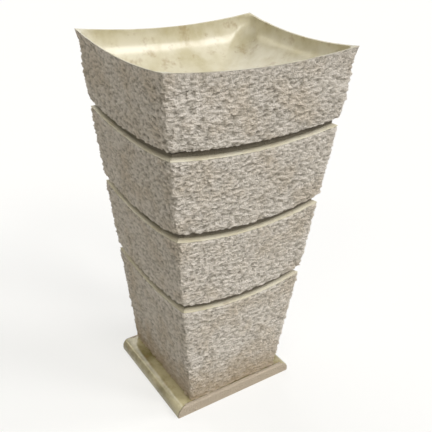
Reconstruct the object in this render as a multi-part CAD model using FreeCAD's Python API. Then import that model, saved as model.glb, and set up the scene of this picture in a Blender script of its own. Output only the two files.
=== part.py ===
import FreeCAD, Part
import math
import os
from collections import namedtuple

# A tapering stone pedestal with a polished dish in its top. Four hollow, rough-faced courses stand on a plinth
# slab, bedded and dowelled on each other, with a waste fitting and a drain pipe down the hollow.
# Millimetres, +Z up, origin under the middle of the plinth, the long side of the rim along X.

# Outline of the trunk, and the height of each course measured at the trunk's corners
rim_length = 480.0
rim_width = 400.0
foot_length = 264.0
foot_width = 298.0
foot_course_height = 302.0
lower_course_height = 198.0
upper_course_height = 192.0
bowl_course_height = 178.0
cut_overrun = 5.0

# Plinth slab, with quarter-round ledges left and right and slightly eased sawn edges front and back
plinth_length = 350.0
plinth_width = 318.0
plinth_thickness = 30.0
plinth_ledge_round = 22.0
plinth_sawn_ease = 3.0
plinth_hole_radius = 32.0

# Grooves between the courses: how far each sags at mid-side, and their common section
low_groove_sag = 22.0
middle_groove_sag = 24.0
high_groove_sag = 18.0
groove_opening = 21.0
groove_depth = 12.0
shoulder_slope_rise = 4.5

# Hollow trunk, beds of setting compound, and the square dowels across each bed
wall_thickness = 55.0
hollow_corner_radius = 28.0
socket_clearance = 1.0
bed_thickness = 2.0
bed_setback = 5.0
dowel_side = 12.0
mortice_clearance = 0.3
dowel_embedment = 40.0
plinth_dowel_embedment = 20.0
dowel_end_gap = 2.0

# Dish: the stone under it, the sag of its rim, the narrow land around it, and its rounded creases
dish_floor_thickness = 30.5
dish_floor_flat_depth = 1.5
dish_crease_radius = 28.0
rim_sag = 16.0
rim_land = 5.0

# Waste fitting through the floor of the dish
drain_hole_radius = 23.0
drain_flange_radius = 34.0
drain_flange_thickness = 3.0
drain_flange_clearance = 0.5
drain_tube_radius = 22.0
drain_spare_thread = 10.0
flange_seal_thickness = 1.0
flange_seal_margin = 1.0
thread_clearance = 0.3
grid_thickness = 2.5
grid_slot_width = 3.4
grid_slot_start = 5.5
grid_slot_end = 15.5
grid_slot_count = 6
floor_gasket_radius = 31.0
floor_gasket_thickness = 6.0
lock_nut_across_flats = 58.0
lock_nut_thickness = 9.0
lock_nut_flat_count = 6

# Tailpiece, slip joint and drain pipe
tail_radius = 16.0
tail_wall = 1.2
tail_length = 150.0
tail_engagement = 12.0
tail_overlap = 40.0
pipe_radius = 20.0
pipe_wall = 1.8
pipe_lift = 3.0
pipe_socket_radius = 20.25
pipe_socket_wall = 3.2
pipe_socket_depth = 45.0
slip_washer_height = 6.0
slip_washer_clearance = 0.3
slip_nut_across_flats = 54.0
slip_nut_skirt = 22.0
slip_nut_lip = 3.0
slip_nut_flat_count = 8

Vector = FreeCAD.Vector
up = Vector(0, 0, 1)

# A groove or rim line: its height at the trunk's corners, and how far it sags at mid-side
SagLine = namedtuple("SagLine", "height sag")
low_groove = SagLine(plinth_thickness + foot_course_height, low_groove_sag)
middle_groove = SagLine(low_groove.height + lower_course_height, middle_groove_sag)
high_groove = SagLine(middle_groove.height + upper_course_height, high_groove_sag)
total_height = high_groove.height + bowl_course_height
rim_line = SagLine(total_height, rim_sag)

# Outward directions of the trunk's four sides: front, right, back and left
sides = (Vector(0, -1, 0), Vector(1, 0, 0), Vector(0, 1, 0), Vector(-1, 0, 0))


# Heights that several pieces share

def bed_height(groove):
    """Height of the flat bed at the top of the course under a groove."""
    return groove.height + groove_opening / 2


def seat_height(groove):
    """Height of the underside of the course that stands on the bed."""
    return bed_height(groove) + bed_thickness


plinth_seat = plinth_thickness + bed_thickness
floor_underside = seat_height(high_groove)
dish_floor = floor_underside + dish_floor_thickness
flange_seat = dish_floor - drain_flange_thickness - flange_seal_thickness
gasket_bottom = floor_underside - floor_gasket_thickness
nut_bottom = gasket_bottom - lock_nut_thickness
body_bottom = nut_bottom - drain_spare_thread
tail_top = body_bottom + tail_engagement
tail_bottom = tail_top - tail_length
pipe_top = tail_bottom + tail_overlap


# Tapering trunk

def half_length(height, inset):
    """Half the trunk's size along X at a height, taken in from the rough face."""
    rise_share = (height - plinth_thickness) / (total_height - plinth_thickness)
    return (foot_length + (rim_length - foot_length) * rise_share) / 2 - inset


def half_width(height, inset):
    """Half the trunk's size along Y at a height, taken in from the rough face."""
    rise_share = (height - plinth_thickness) / (total_height - plinth_thickness)
    return (foot_width + (rim_width - foot_width) * rise_share) / 2 - inset


def along_side(side):
    """The level direction along one side, anticlockwise seen from above."""
    return Vector(-side.y, side.x, 0)


def face_point(side, along_share, height, inset):
    """A point on one side of the trunk. along_share goes from -1 at one corner to 1 at the other."""
    direction = side + along_side(side) * along_share
    return Vector(direction.x * half_length(height, inset), direction.y * half_width(height, inset), height)


def flat_faced_block(bottom, top):
    """A solid with flat faces between two level outlines that run anticlockwise."""
    outlines = [bottom[::-1], top]
    for index in range(len(bottom)):
        outlines.append([bottom[index - 1], bottom[index], top[index], top[index - 1]])
    faces = [Part.Face(Part.makePolygon(outline + outline[:1])) for outline in outlines]
    return Part.makeSolid(Part.makeShell(faces))


def trunk_slice(low, high, inset):
    """A solid slice of the tapering trunk between two heights."""
    outlines = []
    for height in (low, high):
        outlines.append([face_point(side, -1, height, inset) for side in sides])
    return flat_faced_block(*outlines)


def mitred_wall(side, low, high, depth):
    """One side of the trunk from outside its face to a depth, mitred against its neighbours."""
    outlines = []
    for height in (low, high):
        outer = [face_point(side, share, height, -cut_overrun) for share in (-1, 1)]
        inner = [face_point(side, share, height, depth) for share in (1, -1)]
        outlines.append(outer + inner)
    return flat_faced_block(*outlines)


def hollow_cut(low, high, inset):
    """The hollow inside the trunk between two heights, past both of them, with its upright edges rounded."""
    hollow = trunk_slice(low - cut_overrun, high + cut_overrun, inset)
    upright_edges = [edge for edge in hollow.Edges if edge.BoundBox.ZLength > cut_overrun]
    return hollow.makeFillet(hollow_corner_radius, upright_edges)


def cylinder(radius, low, high):
    """An upright cylinder around the middle of the trunk."""
    return Part.makeCylinder(radius, high - low, Vector(0, 0, low), up)


# Grooves and rim

def band_cut(side, line, level, slope, depth):
    """The part of one side between a sagging line and a level, in to a depth.

    The line is an arc on the rough face, and the arched cut climbs inwards from it by the slope."""
    along = along_side(side)
    highest = max(level, line.height)
    lowest = min(level, line.height - line.sag)
    distance = face_point(side, 0, highest, 0).dot(side) + cut_overrun
    far_reach = face_point(side, 1, highest, 0).dot(along) + cut_overrun
    corner = face_point(side, 1, line.height, 0)
    middle = face_point(side, 0, line.height - line.sag, 0)
    corner_height = corner.z - slope * (distance - corner.dot(side))
    middle_height = middle.z - slope * (distance - middle.dot(side))
    sag = corner_height - middle_height
    radius = (corner.dot(along) ** 2 + sag ** 2) / (2 * sag)
    far_height = middle_height + radius - math.sqrt(radius ** 2 - far_reach ** 2)

    def point(reach, height):
        return side * distance + along * reach + up * height

    left_end = point(-far_reach, far_height)
    right_end = point(far_reach, far_height)
    outline = Part.Wire([
        Part.Arc(left_end, point(0, middle_height), right_end).toShape(),
        Part.makeLine(right_end, point(far_reach, level)),
        Part.makeLine(point(far_reach, level), point(-far_reach, level)),
        Part.makeLine(point(-far_reach, level), left_end),
    ])
    run = distance - face_point(side, 0, lowest, depth).dot(side) + cut_overrun
    slab = Part.Face(outline).extrude((up * slope - side) * run)
    return slab.common(mitred_wall(side, lowest - cut_overrun, highest + cut_overrun, depth))


def band_cuts(line, level, slope, depth):
    """The cuts between a sagging line and a level on all four sides, which meet in mitres at the corners."""
    return [band_cut(side, line, level, slope, depth) for side in sides]


# Dowels and beds

def dowel_bars(side_length, low, high, bed_outer_inset):
    """Four upright square bars, each in the middle of a wall and halfway across its bed."""
    bars = []
    half = Vector(side_length / 2, side_length / 2, 0)
    for side in sides:
        place = face_point(side, 0, low, (bed_outer_inset + wall_thickness) / 2)
        bars.append(Part.makeBox(side_length, side_length, high - low, place - half))
    return bars


def dowels(bed_bottom, bed_outer_inset, depth_below):
    """The dowels across one bed."""
    high = bed_bottom + bed_thickness + dowel_embedment
    return Part.makeCompound(dowel_bars(dowel_side, bed_bottom - depth_below, high, bed_outer_inset))


def mortices(bed_bottom, bed_outer_inset, depth_below):
    """The square holes for the dowels, through the bed and into the stone on both sides."""
    high = bed_bottom + bed_thickness + dowel_embedment + dowel_end_gap
    side_length = dowel_side + 2 * mortice_clearance
    return dowel_bars(side_length, bed_bottom - depth_below, high, bed_outer_inset)


def bed(bed_bottom, bed_outer_inset, depth_below):
    """A ring of setting compound, kept back from the faces that show."""
    bed_top = bed_bottom + bed_thickness
    slab = trunk_slice(bed_bottom, bed_top, bed_outer_inset + bed_setback)
    hollow = hollow_cut(bed_bottom, bed_top, wall_thickness - bed_setback)
    return slab.cut([hollow] + mortices(bed_bottom, bed_outer_inset, depth_below))


# Courses

def course_blank(groove, top):
    """A course above a groove: its skirt hangs over the neck, and a stub stands on the bed at the corners."""
    skirt_line = SagLine(groove.height + groove_opening, groove.sag)
    lowest = skirt_line.height - groove.sag - cut_overrun
    blank = trunk_slice(lowest, top, 0)
    skirt_cuts = band_cuts(skirt_line, lowest - cut_overrun, 0, groove_depth)
    socket = trunk_slice(lowest - cut_overrun, seat_height(groove), groove_depth - socket_clearance)
    return blank.cut(skirt_cuts + [socket] + mortices(bed_height(groove), groove_depth, dowel_embedment))


def shoulder_cuts(groove):
    """What is cut away around a neck: the weathered shoulder of the course below the groove is left."""
    slope = shoulder_slope_rise / groove_depth
    return band_cuts(groove, bed_height(groove) + cut_overrun, slope, groove_depth)


def foot_block():
    """The lowest course, on the plinth."""
    top = bed_height(low_groove)
    cuts = shoulder_cuts(low_groove) + [hollow_cut(plinth_seat, top, wall_thickness)]
    cuts += mortices(plinth_thickness, 0, plinth_dowel_embedment)
    cuts += mortices(top, groove_depth, dowel_embedment)
    return trunk_slice(plinth_seat, top, 0).cut(cuts)


def middle_course(groove_below, groove_above):
    """A hollow course between two grooves."""
    top = bed_height(groove_above)
    cuts = shoulder_cuts(groove_above) + [hollow_cut(seat_height(groove_below), top, wall_thickness)]
    cuts += mortices(top, groove_depth, dowel_embedment)
    return course_blank(groove_below, top).cut(cuts)


def cove(side, half_span, half_run):
    """A trough along one direction whose section is half an ellipse, upright at the rim and open above it."""
    drop = total_height - dish_floor + dish_floor_flat_depth
    across = along_side(side)
    centre = up * total_height - side * half_run
    ellipse = Part.Ellipse(centre + across * half_span, centre - up * drop, centre)
    lower_half = Part.Edge(ellipse, 0, math.pi)
    start = lower_half.valueAt(lower_half.FirstParameter)
    end = lower_half.valueAt(lower_half.LastParameter)
    lift = up * dish_floor_thickness
    section = Part.Wire([
        lower_half,
        Part.makeLine(end, end + lift),
        Part.makeLine(end + lift, start + lift),
        Part.makeLine(start + lift, start),
    ])
    return Part.Face(section).extrude(side * half_run * 2)


def dish_cut():
    """The hollow of the dish: two crossing coves over a small level floor, with their creases rounded."""
    half_x = half_length(total_height, rim_land)
    half_y = half_width(total_height, rim_land)
    crossing = cove(sides[1], half_y, half_x).common(cove(sides[2], half_x, half_y))
    floor_corner = Vector(-rim_length / 2, -rim_width / 2, dish_floor)
    hollow = crossing.common(Part.makeBox(rim_length, rim_width, total_height, floor_corner))
    creases = []
    for edge in hollow.Edges:
        box = edge.BoundBox
        if min(box.XLength, box.YLength, box.ZLength) > dish_floor_flat_depth:
            creases.append(edge)
    return hollow.makeFillet(dish_crease_radius, creases)


def bowl_block():
    """The top course, with the dish, its rim and the hole for the waste fitting."""
    blank = course_blank(high_groove, total_height)
    rim_cuts = band_cuts(rim_line, total_height + cut_overrun, 0, wall_thickness)
    rebate_radius = drain_flange_radius + drain_flange_clearance
    drain_hole = cylinder(drain_hole_radius, floor_underside - cut_overrun, dish_floor)
    rebate = cylinder(rebate_radius, flange_seat, dish_floor + cut_overrun)
    return blank.cut(rim_cuts + [dish_cut()]).cut([drain_hole, rebate])


def plinth_slab():
    """The slab under the trunk: a section with a quarter-round at each end, run from front to back."""
    half_x = plinth_length / 2
    front = -plinth_width / 2
    round_foot = plinth_thickness - plinth_ledge_round
    round_middle = plinth_ledge_round * (1 - math.sqrt(0.5))
    flat_end = half_x - plinth_ledge_round
    left_round = Part.Arc(Vector(-half_x, front, round_foot),
                          Vector(-half_x + round_middle, front, plinth_thickness - round_middle),
                          Vector(-flat_end, front, plinth_thickness)).toShape()
    right_round = Part.Arc(Vector(flat_end, front, plinth_thickness),
                           Vector(half_x - round_middle, front, plinth_thickness - round_middle),
                           Vector(half_x, front, round_foot)).toShape()
    section = Part.Wire([
        Part.makeLine(Vector(-half_x, front, 0), Vector(-half_x, front, round_foot)),
        left_round,
        Part.makeLine(Vector(-flat_end, front, plinth_thickness), Vector(flat_end, front, plinth_thickness)),
        right_round,
        Part.makeLine(Vector(half_x, front, round_foot), Vector(half_x, front, 0)),
        Part.makeLine(Vector(half_x, front, 0), Vector(-half_x, front, 0)),
    ])
    slab = Part.Face(section).extrude(Vector(0, plinth_width, 0))
    sawn_edges = []
    for edge in slab.Edges:
        box = edge.BoundBox
        if box.YLength < plinth_width / 2 and box.ZMax > 0:
            sawn_edges.append(edge)
    slab = slab.makeChamfer(plinth_sawn_ease, sawn_edges)
    hole = cylinder(plinth_hole_radius, -cut_overrun, plinth_thickness + cut_overrun)
    return slab.cut([hole] + mortices(plinth_thickness, 0, plinth_dowel_embedment))


# Turned pieces of the waste fitting and the pipe

def turned(profile):
    """A ring whose half section is a closed outline of radius and height."""
    points = [Vector(radius, 0, height) for radius, height in profile]
    face = Part.Face(Part.makePolygon(points + points[:1]))
    return face.revolve(Vector(), up, 360)


def ring(inner_radius, outer_radius, low, high):
    """A plain ring with a rectangular half section."""
    return turned([(inner_radius, low), (outer_radius, low), (outer_radius, high), (inner_radius, high)])


def flat_sided_prism(across_flats, flat_count, low, high):
    """An upright prism with an even number of equal flats."""
    corner_radius = across_flats / 2 / math.cos(math.pi / flat_count)
    corners = []
    for index in range(flat_count + 1):
        angle = 2 * math.pi * index / flat_count
        corners.append(Vector(corner_radius * math.cos(angle), corner_radius * math.sin(angle), low))
    return Part.Face(Part.makePolygon(corners)).extrude(up * (high - low))


def drain_body():
    """The flanged waste body, with a grid of slots like spokes, and a bore that takes the tailpiece."""
    grid_bottom = dish_floor - grid_thickness
    bore_radius = tail_radius + thread_clearance
    flange_bottom = dish_floor - drain_flange_thickness
    body = turned([
        (0, dish_floor),
        (drain_flange_radius, dish_floor),
        (drain_flange_radius, flange_bottom),
        (drain_tube_radius, flange_bottom),
        (drain_tube_radius, body_bottom),
        (bore_radius, body_bottom),
        (bore_radius, grid_bottom),
        (0, grid_bottom),
    ])
    slots = []
    for index in range(grid_slot_count):
        corner = Vector(grid_slot_start, -grid_slot_width / 2, grid_bottom - cut_overrun)
        height = grid_thickness + cut_overrun * 2
        slot = Part.makeBox(grid_slot_end - grid_slot_start, grid_slot_width, height, corner)
        slot.rotate(Vector(), up, 360 * index / grid_slot_count)
        slots.append(slot)
    return body.cut(slots)


def flange_seal():
    """The soft ring between the flange and the stone."""
    return ring(drain_hole_radius, drain_flange_radius - flange_seal_margin, flange_seat,
                flange_seat + flange_seal_thickness)


def floor_gasket():
    """The thick rubber ring against the underside of the dish's floor."""
    return ring(drain_tube_radius + thread_clearance, floor_gasket_radius, gasket_bottom, floor_underside)


def lock_nut():
    """The nut that clamps the waste body to the stone."""
    blank = flat_sided_prism(lock_nut_across_flats, lock_nut_flat_count, nut_bottom, gasket_bottom)
    return blank.cut(cylinder(drain_tube_radius + thread_clearance, nut_bottom - cut_overrun,
                              gasket_bottom + cut_overrun))


def tailpiece():
    """The thin tube from the waste body into the pipe."""
    return ring(tail_radius - tail_wall, tail_radius, tail_bottom, tail_top)


def slip_washer():
    """The compression ring on the pipe's end, around the tailpiece."""
    return ring(tail_radius + slip_washer_clearance, pipe_radius, pipe_top, pipe_top + slip_washer_height)


def slip_nut():
    """The nut that squeezes the slip washer: a skirt around the pipe and a lip over the washer."""
    lip_bottom = pipe_top + slip_washer_height
    lip_top = lip_bottom + slip_nut_lip
    skirt_bottom = lip_top - slip_nut_skirt
    blank = flat_sided_prism(slip_nut_across_flats, slip_nut_flat_count, skirt_bottom, lip_top)
    skirt_bore = cylinder(pipe_radius + thread_clearance, skirt_bottom - cut_overrun, lip_bottom)
    lip_radius = tail_radius + slip_washer_clearance
    lip_bore = cylinder(lip_radius, skirt_bottom - cut_overrun, lip_top + cut_overrun)
    return blank.cut([skirt_bore, lip_bore])


def drain_pipe():
    """The pipe down the hollow trunk, with a push-fit socket at its foot."""
    socket_top = pipe_lift + pipe_socket_depth
    socket_outside = pipe_socket_radius + pipe_socket_wall
    shoulder_top = socket_top + pipe_socket_wall
    pipe_bore = pipe_radius - pipe_wall
    return turned([
        (pipe_socket_radius, pipe_lift),
        (socket_outside, pipe_lift),
        (socket_outside, socket_top),
        (pipe_radius, shoulder_top),
        (pipe_radius, pipe_top),
        (pipe_bore, pipe_top),
        (pipe_bore, socket_top),
        (pipe_socket_radius, socket_top),
    ])


pieces = {
    "plinth_slab": plinth_slab(),
    "foot_bed": bed(plinth_thickness, 0, plinth_dowel_embedment),
    "foot_dowels": dowels(plinth_thickness, 0, plinth_dowel_embedment),
    "foot_block": foot_block(),
    "lower_bed": bed(bed_height(low_groove), groove_depth, dowel_embedment),
    "lower_dowels": dowels(bed_height(low_groove), groove_depth, dowel_embedment),
    "lower_block": middle_course(low_groove, middle_groove),
    "upper_bed": bed(bed_height(middle_groove), groove_depth, dowel_embedment),
    "upper_dowels": dowels(bed_height(middle_groove), groove_depth, dowel_embedment),
    "upper_block": middle_course(middle_groove, high_groove),
    "bowl_bed": bed(bed_height(high_groove), groove_depth, dowel_embedment),
    "bowl_dowels": dowels(bed_height(high_groove), groove_depth, dowel_embedment),
    "bowl_block": bowl_block(),
    "drain_body": drain_body(),
    "flange_seal": flange_seal(),
    "floor_gasket": floor_gasket(),
    "lock_nut": lock_nut(),
    "tailpiece": tailpiece(),
    "slip_washer": slip_washer(),
    "slip_nut": slip_nut(),
    "drain_pipe": drain_pipe(),
}

os.makedirs("parts", exist_ok=True)
for name, shape in pieces.items():
    shape.exportStep("parts/" + name + ".step")
    print(name, len(shape.Solids), shape.isValid(), round(shape.Volume), shape.BoundBox)
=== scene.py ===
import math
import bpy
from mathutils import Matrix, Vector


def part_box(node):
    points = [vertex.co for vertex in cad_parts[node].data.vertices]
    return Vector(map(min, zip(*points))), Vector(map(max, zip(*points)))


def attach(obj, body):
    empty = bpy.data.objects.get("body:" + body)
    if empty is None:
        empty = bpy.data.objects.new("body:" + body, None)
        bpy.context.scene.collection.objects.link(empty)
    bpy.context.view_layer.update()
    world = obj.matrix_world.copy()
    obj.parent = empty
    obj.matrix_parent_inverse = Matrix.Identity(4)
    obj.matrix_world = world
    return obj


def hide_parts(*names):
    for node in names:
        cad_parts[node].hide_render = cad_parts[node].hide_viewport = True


bl_info = {
    "name": "Stone pedestal planter",
    "version": (1, 0, 0),
    "blender": (4, 5, 0),
    "location": "3D View > Sidebar > Planter",
    "description": "Dresses the stone and finishes the fittings of a pedestal planter, and sets its stage",
    "category": "Add Mesh",
}

from collections import namedtuple

import bpy
from bpy.props import FloatProperty, FloatVectorProperty, IntProperty, PointerProperty
from mathutils import Matrix, Vector

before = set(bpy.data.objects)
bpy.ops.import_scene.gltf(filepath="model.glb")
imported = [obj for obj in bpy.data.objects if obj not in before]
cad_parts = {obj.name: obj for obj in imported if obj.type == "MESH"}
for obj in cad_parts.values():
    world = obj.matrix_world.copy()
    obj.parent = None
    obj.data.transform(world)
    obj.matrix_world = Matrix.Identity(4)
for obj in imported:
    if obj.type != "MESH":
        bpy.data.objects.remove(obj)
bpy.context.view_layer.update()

MM = 0.001
BODY = "root"
COURSES = ("foot", "lower", "upper", "bowl")
# Outward from the front, the right, the back and the left
SIDES = tuple(Vector(side).freeze() for side in ((0, -1), (1, 0), (0, 1), (-1, 0)))


# Properties: the sizes and colours that a user would change

def linear(hex_colour):
    """The linear colour of an sRGB hex value, with full alpha."""
    channels = []
    for start in (1, 3, 5):
        value = int(hex_colour[start:start + 2], 16) / 255
        channels.append(value / 12.92 if value <= 0.04045 else ((value + 0.055) / 1.055) ** 2.4)
    return (*channels, 1.0)


def length(name, description, millimetres):
    """A length property, with its default given in millimetres."""
    return FloatProperty(name=name, description=description, default=millimetres * MM, unit="LENGTH")


def angle(name, description, degrees):
    """An angle property, with its default given in degrees."""
    return FloatProperty(name=name, description=description, default=math.radians(degrees), unit="ROTATION")


def share(name, description, default):
    """A share or a strength, from none to all."""
    return FloatProperty(name=name, description=description, default=default, subtype="FACTOR")


def row(name, description, values, unit="NONE"):
    """One number for each of a row of lamps."""
    return FloatVectorProperty(name=name, description=description, default=values, size=len(values),
                               unit=unit)


def row_of_angles(name, description, *degrees):
    """One angle for each of a row of lamps, with the defaults given in degrees."""
    return row(name, description, tuple(math.radians(value) for value in degrees), "ROTATION")


def colour(name, description, hex_colour):
    """A colour property, with its default given as an sRGB hex value."""
    return FloatVectorProperty(name=name, description=description, default=linear(hex_colour), size=4,
                               subtype="COLOR", min=0.0, max=1.0)


class MasonrySizes(bpy.types.PropertyGroup):
    """How the courses, the dish and the plinth are cut."""
    groove_opening: length("Groove opening", "Height of a groove on the rough face", 21)
    groove_depth: length("Groove depth", "How far a groove goes in", 12)
    shoulder_rise: length("Shoulder rise", "How far the polished shoulder climbs to the neck", 4.5)
    # Besides dulling the polish, this lets the groove's painted shade show on the upper shoulder
    shoulder_dust: share("Shoulder dust", "How dull a shoulder is where it meets the neck", 0.8)
    neck_ease: length("Neck ease", "Where the polish of a shoulder ends on the neck", 1)
    socket_clearance: length("Socket clearance", "Play between a neck and the skirt around it", 1)
    wall: length("Wall", "Thickness of the hollow courses", 55)
    hollow_corner: length("Hollow corner", "Radius of the upright corners of the hollow", 28)
    rim_sag: length("Rim sag", "How far the rim dips at the middle of each side", 16)
    rim_land: length("Rim land", "Width of the narrow flat around the dish", 5)
    rim_ease: length("Rim ease", "Softening of the edge between land and dish", 1.2)
    crease_radius: length("Crease radius", "Rounding where two walls of the dish meet", 28)
    dish_rounding: share("Dish rounding", "How much rounder the dish gets towards its floor", 0.3)
    dish_sag: share("Dish sag", "How far the walls of the dish follow the sagging rim", 1.0)
    floor_drop: length("Floor drop", "How far below the level floor the walls' curves would end", 1.5)
    hole_radius: length("Hole radius", "Hole for the waste fitting", 23)
    rebate_play: length("Rebate play", "Gap around the flange of the waste", 0.5)
    plinth_round: length("Plinth round", "Radius of the ledges at the plinth's ends", 22)
    plinth_ease: length("Plinth ease", "Chamfer on the plinth's sawn sides", 3)
    plinth_corner: length("Plinth corner", "Rounding of the plinth's upright corners", 2.5)
    plinth_joint: length("Plinth joint", "Width over which the sawn strip turns to polish beside the foot", 1)
    plinth_hole: length("Plinth hole", "Radius of the hole for the pipe through the plinth", 32)


class DressingSizes(bpy.types.PropertyGroup):
    """How the mason's chisel leaves the rough faces."""
    face_quads: IntProperty(name="Face quads", description="Mesh faces over one course's rough sides",
                            default=70000)
    row_ratio: FloatProperty(name="Row ratio", description="Width of a mesh face over its height",
                             default=1.6)
    chip_length: length("Chip length", "Length of a chip along the course", 11)
    chip_height: length("Chip height", "Height of a chip", 6.5)
    chip_depth: length("Chip depth", "Depth of the chips, from the highest lip to the deepest cut", 11.5)
    arris_wear: length("Arris wear", "Deepest loss along the upright arrises", 3)
    arris_band: length("Arris band", "Width of the worn strip beside an arris", 10)
    edge_pitch: length("Edge pitch", "How far a course's lower edge is pitched back", 3)
    edge_band: length("Edge band", "Height of the pitched strip", 8)
    margin_band: length("Margin band", "Height of the calmer strip under a polished shoulder", 5)
    rim_margin: length("Rim margin", "Height under the rim where the wall is too thin for deep chips", 42)
    rim_band: length("Rim band", "Height under the rim over which the chips come out to the rim's line", 95)
    margin_share: share("Margin share", "Roughness left at a polished edge", 0.2)
    undulation: length("Undulation", "Waves that hand polishing leaves in the dish", 1.6)
    dish_rings: IntProperty(name="Dish rings", description="Mesh rows down the wall of the dish", default=32)
    seed: IntProperty(name="Seed", description="Picks one pattern of chips", default=7)


class PlanterColours(bpy.types.PropertyGroup):
    """What the eye sees of each finish."""
    rough_pale: colour("Rough pale", "Fresh broken marble", "#F2EBE4")
    rough_warm: colour("Rough warm", "Broken marble with iron in it", "#E8DDD0")
    # Warmer and darker tone towards the bottom of the foot
    rough_soil: colour("Rough soil", "Earth splashed on the lowest part of the foot", "#B29B79")
    # Colour of dust and painted shade in the deepest chips, and of painted shade on the grooves' necks and
    # shoulders
    rough_recess: colour("Rough recess", "Dust in the deepest chips and on the necks", "#7E7769")
    polished_pale: colour("Polished pale", "Pale ground of the polished marble", "#D2CCB6")
    polished_khaki: colour("Polished khaki", "Clouds in the polished marble", "#BCB391")
    polished_brown: colour("Polished brown", "Brown staining in the clouds", "#9A8259")
    plinth_pale: colour("Plinth pale", "Pale ground of the polished plinth", "#C9C09C")
    plinth_khaki: colour("Plinth khaki", "Clouds in the polished plinth", "#857B50")
    sawn: colour("Sawn", "Sawn marble of the plinth's front and back", "#D2C4B2")
    setting: colour("Setting compound", "Cement between the courses", "#A79F92")
    steel: colour("Stainless steel", "Dowels", "#B9BBBC")
    chrome: colour("Chrome", "Plated waste fitting", "#D6D8DA")
    brass: colour("Brass", "Lock nut", "#C9A45A")
    rubber: colour("Rubber", "Seals and washers", "#1F1F20")
    plastic: colour("PVC", "Pipe and slip nut", "#8C9094")
    floor: colour("Floor", "Studio floor", "#FDFDFC")
    floor_bounce: colour("Floor bounce", "Floor as the object's underside sees it", "#B2AEA4")


class StudioSizes(bpy.types.PropertyGroup):
    """Where the camera and the lamps stand."""
    camera_azimuth: angle("Camera azimuth", "Turn of the camera about the upright", -34.377)
    camera_elevation: angle("Camera elevation", "How far the camera looks down", 28.32)
    camera_roll: angle("Camera roll", "Tilt of the picture", 2.286)
    camera_place: FloatVectorProperty(name="Camera place", description="Where the camera stands",
                                      default=(-759.69 * MM, -1143.96 * MM, 1200.61 * MM), unit="LENGTH")
    camera_frame: FloatProperty(name="Camera frame", description="Width of the camera's frame in millimetres",
                                default=36.0)
    camera_lens: FloatProperty(name="Camera lens", description="Focal length in millimetres on that frame",
                               default=52.103)
    window_left: angle("Window left", "Azimuth of the left end of the wide window light", -150)
    window_right: angle("Window right", "Azimuth of the right end of the window light", -20)
    window_elevation: angle("Window elevation", "Height of the window light", 42)
    window_spread: angle("Window spread", "How tall the window light looks", 17)
    window_strengths: row("Window strengths", "Light from left to right in watts per square metre",
                          (0.32, 0.44, 0.72, 0.95, 0.8))
    window_tint: colour("Window tint", "Warm light from a pale wall on the left", "#F2E9CC")
    back_azimuths: row_of_angles("Back azimuths", "Where the two back lights stand", 128, 88)
    back_elevations: row_of_angles("Back elevations", "Heights of the back lights", 28, 44)
    back_spreads: row_of_angles("Back spreads", "How wide the back lights look from the object", 12, 45)
    back_strengths: row("Back strengths", "Back lights in watts per square metre", (0.2, 0.9))
    sky_strength: FloatProperty(name="Sky strength", description="Even light from all round", default=0.19)
    floor_glow: share("Floor glow", "How far the seen floor is held towards plain white", 0.6)
    floor_side: length("Floor side", "Side of the studio floor", 40000)


# Shared building blocks

def add_node(tree, kind, settings=None, inputs=None):
    """Adds a node with its settings and inputs. A node given as an input stands for its first output."""
    node = tree.nodes.new(kind)
    for name, value in (settings or {}).items():
        setattr(node, name, value)
    for name, value in (inputs or {}).items():
        if isinstance(value, bpy.types.Node):
            value = value.outputs[0]
        if isinstance(value, bpy.types.NodeSocket):
            tree.links.new(value, node.inputs[name])
        else:
            node.inputs[name].default_value = value
    return node


def fresh_material(name):
    """An empty node material and its tree."""
    material = bpy.data.materials.new(name)
    material.use_nodes = True
    material.node_tree.nodes.clear()
    return material, material.node_tree


def finish_material(tree, shader, bump=None):
    """Ends a material in its output."""
    if bump is not None:
        tree.links.new(bump.outputs[0], shader.inputs["Normal"])
    add_node(tree, "ShaderNodeOutputMaterial", inputs={"Surface": shader})


def seen_rays(tree):
    """One for rays that show a surface, none for rays that only carry its light to another."""
    path = add_node(tree, "ShaderNodeLightPath").outputs
    indirect = add_node(tree, "ShaderNodeMath", {"operation": "MAXIMUM"}, {
        0: path["Is Glossy Ray"], 1: path["Is Transmission Ray"]})
    return add_node(tree, "ShaderNodeMath", {"operation": "MAXIMUM"}, {0: path["Is Camera Ray"], 1: indirect})


def add_piece(name, mesh):
    """A new object for a mesh, in the scene."""
    piece = bpy.data.objects.new(name, mesh)
    bpy.context.scene.collection.objects.link(piece)
    return piece


def settle_modifier(piece, modifier, sharp_angle):
    """Turns a piece with a Geometry Nodes modifier into a plain mesh with crisp edges."""
    bpy.context.view_layer.update()
    shaped = piece.evaluated_get(bpy.context.evaluated_depsgraph_get())
    mesh = bpy.data.meshes.new_from_object(shaped)
    piece.modifiers.remove(modifier)
    piece.data = mesh
    mesh.name = piece.name
    mesh.set_sharp_from_angle(angle=sharp_angle)


def place_piece(piece, node):
    """Hands a finished piece to the frame in the place of its CAD solid."""
    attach(piece, BODY)
    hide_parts(node)


# Marble

# A pattern's real size, its detail and roughness, the noise at which it starts and is full, and its strength
Pattern = namedtuple("Pattern", "size detail roughness start full strength")
CLOUDS = Pattern(90 * MM, 4.0, 0.6, 0.38, 0.68, 1.0)
STAINS = Pattern(34 * MM, 3.0, 0.65, 0.54, 0.72, 0.5)
IRON_DRIFTS = Pattern(70 * MM, 3.0, 0.5, 0.42, 0.72, 1.0)
# Dust and painted shade in the chips start this far above the flat face and are full this far below it, as
# shares of the chips' depth
DUST_START = -0.25
DUST_FULL = 0.2
DUST_STRENGTH = 0.75
# A warmer, darker tone towards the bottom of the foot: the size of its patches, how high it reaches, and how
# strong it is at the plinth
SOIL_SIZE = 25 * MM
SOIL_HEIGHT = 110 * MM
SOIL_DETAIL = 3.0
SOIL_STRENGTH = 0.8
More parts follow.
